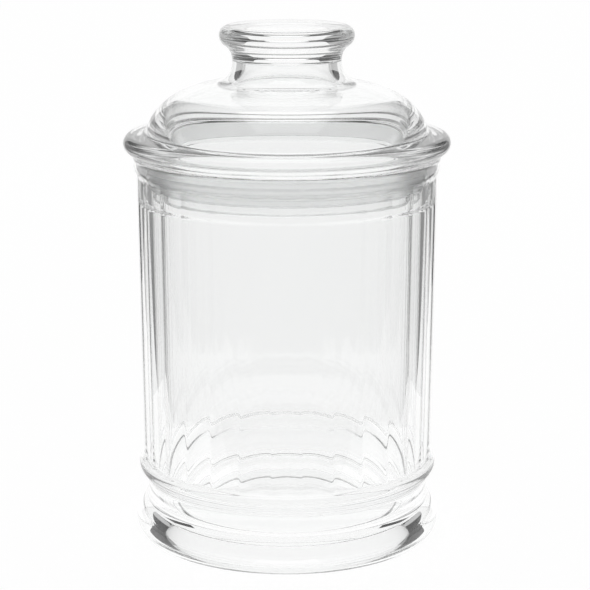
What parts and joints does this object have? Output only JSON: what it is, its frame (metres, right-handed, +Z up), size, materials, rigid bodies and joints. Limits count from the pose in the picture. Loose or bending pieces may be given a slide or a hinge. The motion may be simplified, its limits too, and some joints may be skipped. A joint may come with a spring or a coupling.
{
  "type": "lidded glass canister",
  "caption": "Footed storage jar of clear pressed glass with fluted sides and a domed glass lid, lifted off by a flared knob and sealed by a soft ribbed ring.",
  "frame": {"origin": "centre of the plane that the foot's ring stands on", "axes": "+Z up along the common axis of jar, gasket and lid; -Y is the front; a ridge between two flutes lies on +X"},
  "size_m": [0.1184, 0.1184, 0.188],
  "materials": {
    "clear_glass_jar": "clear fire-polished pressed glass",
    "clear_glass_lid": "clear fire-polished pressed glass",
    "translucent_gasket": "milky translucent soft polyethylene, slightly matt"
  },
  "bodies": {
    "jar": {"glass_jar": "clear_glass_jar"},
    "seal": {"seal_ring": "translucent_gasket"},
    "lid": {"glass_lid": "clear_glass_lid"}
  },
  "joints": [
    {"name": "lid_lift", "type": "slide", "parent": "jar", "child": "seal", "axis": [0, 0, 1], "range_m": [0, 0.03]},
    {"name": "lid_turn", "type": "hinge", "parent": "seal", "child": "lid", "pos_m": [0, 0, 0.1414], "axis": [0, 0, 1], "continuous": true}
  ]
}
